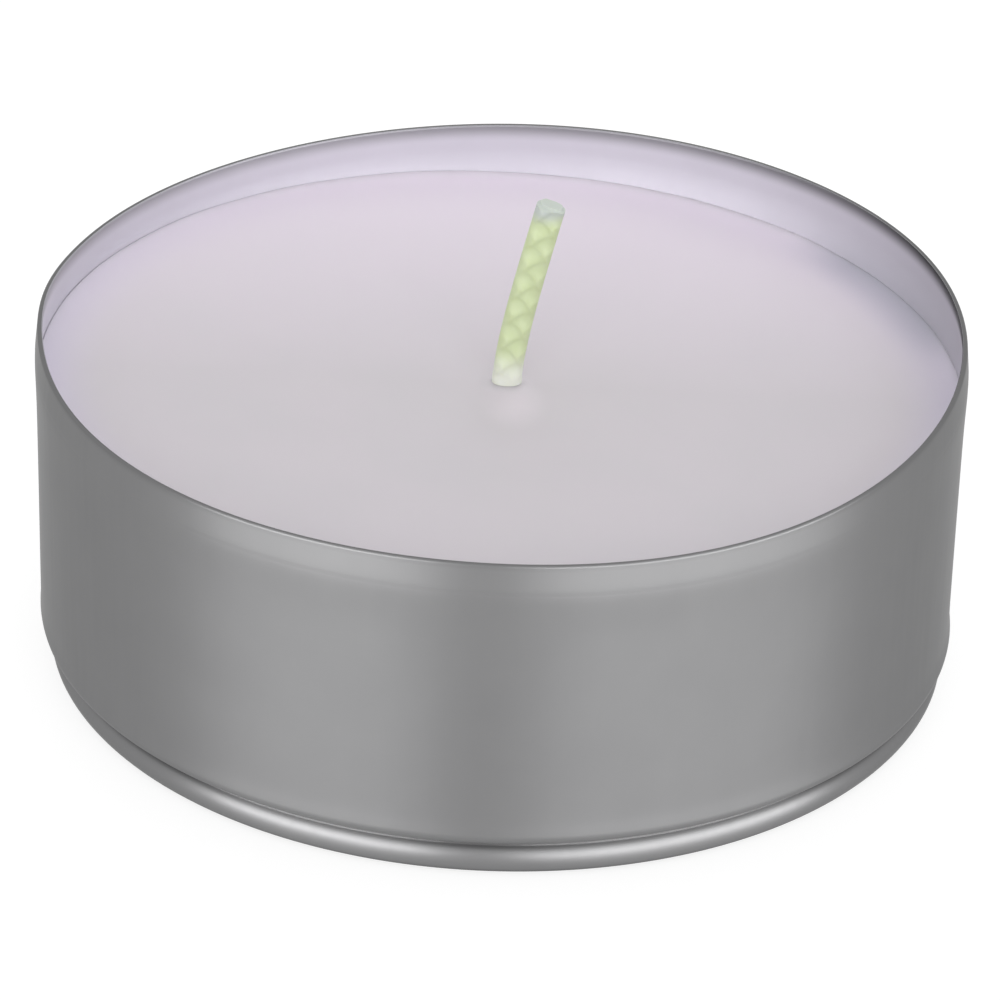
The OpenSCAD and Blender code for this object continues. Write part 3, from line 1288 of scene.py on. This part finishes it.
@dataclass(frozen=True)
class Softbox:
    """One rectangular lamp that faces the candle.

    Attributes:
        name: Name of the lamp.
        azimuth: Direction from the front, in degrees, positive towards +X.
        elevation: Height above the horizon, in degrees.
        distance: Distance from the candle.
        width: Width of the lit face.
        height: Height of the lit face.
        brightness: Brightness of the face, where 1 is a white surface in plain light.
        mirrored: True for a lamp that is only seen in shiny things, False for one that only lights dull ones.
    """

    name: str
    azimuth: float
    elevation: float
    distance: float
    width: float
    height: float
    brightness: float
    mirrored: bool

    def place(self, target: Vector) -> None:
        """Hang the lamp.

        Args:
            target: The point that it faces.
        """
        light = bpy.data.lights.new(self.name, "AREA")
        light.shape = "RECTANGLE"
        light.size, light.size_y = self.width, self.height
        light.energy = self.brightness * math.pi * self.width * self.height
        lamp = new_object(self.name, light)
        away = direction(self.azimuth, self.elevation)
        lamp.location = target + away * self.distance
        lamp.rotation_mode = "QUATERNION"
        lamp.rotation_quaternion = away.to_track_quat("Z", "Y")
        lamp.visible_camera = False
        lamp.visible_diffuse = not self.mirrored
        lamp.visible_glossy = self.mirrored


@dataclass
class Studio:
    """The white floor, the plain soft light and the camera.

    Attributes:
        elevation: Height of the camera above the horizon, in degrees.
        distance: Distance from the camera to the point it looks at.
        frame_width: Width of the view at that point.
        aim: The point that the camera looks at.
        roll: How far the candle is turned clockwise in the picture, in degrees.
        ambient: Brightness of the surroundings, as the candle is lit by them.
        floor_half: Half the length of the floor's sides.
        bounce: Share of the light on the floor that it throws back at the candle.
        glow: Brightness of the floor as it is seen, without any light on it.
        shade: How strongly the floor shows the light and the shadow on it.
        softboxes: The lamps.
    """

    elevation: float = 29.006
    distance: float = 0.35
    frame_width: float = 41.24 * MM
    aim: tuple[float, float, float] = (0.21 * MM, 0.0, 6.99 * MM)
    roll: float = 2.08
    ambient: float = 0.8
    floor_half: float = 1.2
    bounce: float = 0.8
    glow: float = 0.8
    shade: float = 0.28
    softboxes: tuple[Softbox, ...] = (
        Softbox("left_softbox", -41.5, 12.5, 0.8, 0.82, 0.45, 6.2, True),
        Softbox("right_softbox", 46.5, 12.5, 0.8, 1.18, 0.45, 5.7, True),
        Softbox("back_softbox", 175.0, 48.0, 0.9, 0.7, 0.5, 1.0, False),
        Softbox("front_softbox", 3.0, 25.0, 0.8, 0.8, 0.5, 1.6, False),
    )

    @staticmethod
    def seen(nodes: Nodes) -> Socket:
        """Return 1 for rays of the camera, of reflections and of transmission, and 0 for the light's own.

        Args:
            nodes: The nodes to write in.

        Returns:
            The socket with that value.
        """
        path = nodes.add("ShaderNodeLightPath").outputs
        either = nodes.math("MAXIMUM", path["Is Camera Ray"], path["Is Glossy Ray"])
        return nodes.math("MAXIMUM", either, path["Is Transmission Ray"])

    def build_world(self) -> None:
        """Make surroundings that are seen as white and light the candle at a plain level."""
        world = bpy.data.worlds.new("surroundings")
        world.use_nodes = True
        nodes = Nodes(world.node_tree)
        lit, white = (nodes.join("ShaderNodeBackground", WHITE, strength) for strength in (self.ambient, 1.0))
        mixed = nodes.join("ShaderNodeMixShader", self.seen(nodes), lit, white)
        nodes.add("ShaderNodeOutputWorld", Surface=mixed)
        bpy.context.scene.world = world

    def build_floor(self) -> None:
        """Lay the white floor."""
        mesh = bpy.data.meshes.new("floor")
        half = self.floor_half
        corners = [(-half, -half, 0), (half, -half, 0), (half, half, 0), (-half, half, 0)]
        mesh.from_pydata(corners, [], [(0, 1, 2, 3)])
        material, nodes = new_material("white_floor")
        greys = (self.bounce, self.shade)
        plain, shaded = (nodes.join("ShaderNodeBsdfDiffuse", [grey] * 3) for grey in greys)
        both = nodes.join("ShaderNodeAddShader", shaded, nodes.join("ShaderNodeEmission", WHITE, self.glow))
        mixed = nodes.join("ShaderNodeMixShader", self.seen(nodes), plain, both)
        nodes.add("ShaderNodeOutputMaterial", Surface=mixed)
        mesh.materials.append(material)
        floor = new_object("floor", mesh)

    def place_camera(self) -> None:
        """Put the camera where the candle is seen from."""
        data = bpy.data.cameras.new("camera")
        data.sensor_width = 36.0
        data.lens = self.distance / self.frame_width * data.sensor_width
        data.clip_start, data.clip_end = 0.01, 10.0
        camera = new_object("camera", data)
        back = direction(0.0, self.elevation)
        camera.location = Vector(self.aim) + back * self.distance
        camera.rotation_mode = "QUATERNION"
        roll = Matrix.Rotation(math.radians(self.roll), 3, back)
        camera.rotation_quaternion = (roll @ (-back).to_track_quat("-Z", "Y").to_matrix()).to_quaternion()
        bpy.context.scene.camera = camera

    def build(self) -> None:
        """Set up the floor, the light and the camera."""
        self.build_world()
        self.build_floor()
        for softbox in self.softboxes:
            softbox.place(Vector((0.0, 0.0, self.aim[2])))
        self.place_camera()
        bpy.context.scene.view_settings.view_transform = "Standard"


def seat(piece: bpy.types.Object, node: str, slot: Slot, *finishes: bpy.types.Material) -> None:
    """Put a piece in the place of its node, with its finish.

    Args:
        piece: The piece.
        node: The node that it stands for.
        slot: The record's slot for it; not used.
        finishes: Its materials in order.
    """
    # Clearing also resets which finish each face has, so it is only for a piece that comes with materials.
    if piece.data.materials:
        piece.data.materials.clear()
    for finish in finishes:
        piece.data.materials.append(finish)
    if piece.name != node:
        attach(piece, "root")
        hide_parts(node)
    triangles = sum(len(p.vertices) - 2 for p in piece.data.polygons)
    LOG.info("%s: %d triangles, stands for %s", piece.name, triangles, node)


def main() -> None:
    """Build the candle and the studio round it."""
    logging.basicConfig(level=logging.INFO, format="%(name)s: %(message)s")
    cup_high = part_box("cup")[1]
    wick_low, wick_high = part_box("wick")
    disc_low, disc_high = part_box("wick_sustainer")
    line = FoilLine(rim_r=cup_high.x, cup_h=cup_high.z)
    askew = Askew(height=line.cup_h, radius=line.rim_r)
    wick_at = (disc_low.x + disc_high.x) / 2
    wick_radius = 0.6 * MM
    cast_gap = 0.02 * MM
    steel_t = 0.2 * MM

    grain, blotches = grain_group(), blotch_group()
    outside = MetalFinish("foil_outside", (0.217, 0.217, 0.219), (0.200, 0.200, 0.203), edge_tint=0.68)
    # The inside's pale lavender colour is partly the foil's own and partly a painted reflection of the wax
    # beside it.
    inside = MetalFinish(
        "foil_inside",
        (0.645, 0.625, 0.685),
        (0.605, 0.590, 0.645),
        roughness=0.5,
        anisotropy=0.3,
        metallic=0.4,
    )
    steel = MetalFinish("tinned_steel", (0.62, 0.62, 0.63), (0.54, 0.54, 0.55), roughness=0.3, streaks=60.0)

    bulges = (
        Bulge(azimuth=78.0, height=1.1 * MM, rise=0.12 * MM, width=9.0 * MM, length=0.9 * MM),
        Bulge(azimuth=-75.0, height=0.9 * MM, rise=0.08 * MM, width=9.0 * MM, length=0.9 * MM),
    )
    swages = ((2.0 * MM, 0.04 * MM, 0.45 * MM), (13.3 * MM, 0.03 * MM, 1.2 * MM))
    # Painted shade: under the bead, in the crease above it, and along the rim's top.
    shade_bands = ((0.0, 0.45 * MM, 0.75), (1.40 * MM, 0.26 * MM, 0.5), (line.cup_h, 0.3 * MM, 0.18))
    cup = FoilCup(line, askew, swages=swages, bulges=bulges, painted_shade_bands=shade_bands)
    seat(cup.build(), "cup", Slot.FOIL, outside.material(grain), inside.material(grain))

    wick = BraidedWick(at=wick_at, foot=wick_low.z, surface=0.0, free=8.7 * MM, radius=wick_radius)
    wax = CastWax(
        line,
        askew,
        wick_at=wick_at,
        wick_bore=wick_radius + cast_gap,
        bore_depth=wick.half_depth + cast_gap,
        neck_space=(wick_radius + 2 * cast_gap + steel_t, disc_high.z + cast_gap),
        disc_space=((disc_high.x - disc_low.x) / 2 + cast_gap, disc_low.z + steel_t + cast_gap),
    )
    seat(wax.build(), "wax", Slot.WAX, WaxFinish().material(blotches))

    leaves_wax = wick.surface = wax.level - wax.hollow_depth
    cotton = CottonFinish(
        foot_z=(leaves_wax + 0.6 * MM, leaves_wax + 2.2 * MM),
        tip_z=(wick_high.z - 1.0 * MM, wick_high.z - 0.3 * MM),
    )
    seat(wick.build(), "wick", Slot.COTTON, cotton.material(blotches))
    seat(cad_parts["wick_sustainer"], "wick_sustainer", Slot.STEEL, steel.material(grain))

    Studio().build()


if __name__ == "__main__":
    main()
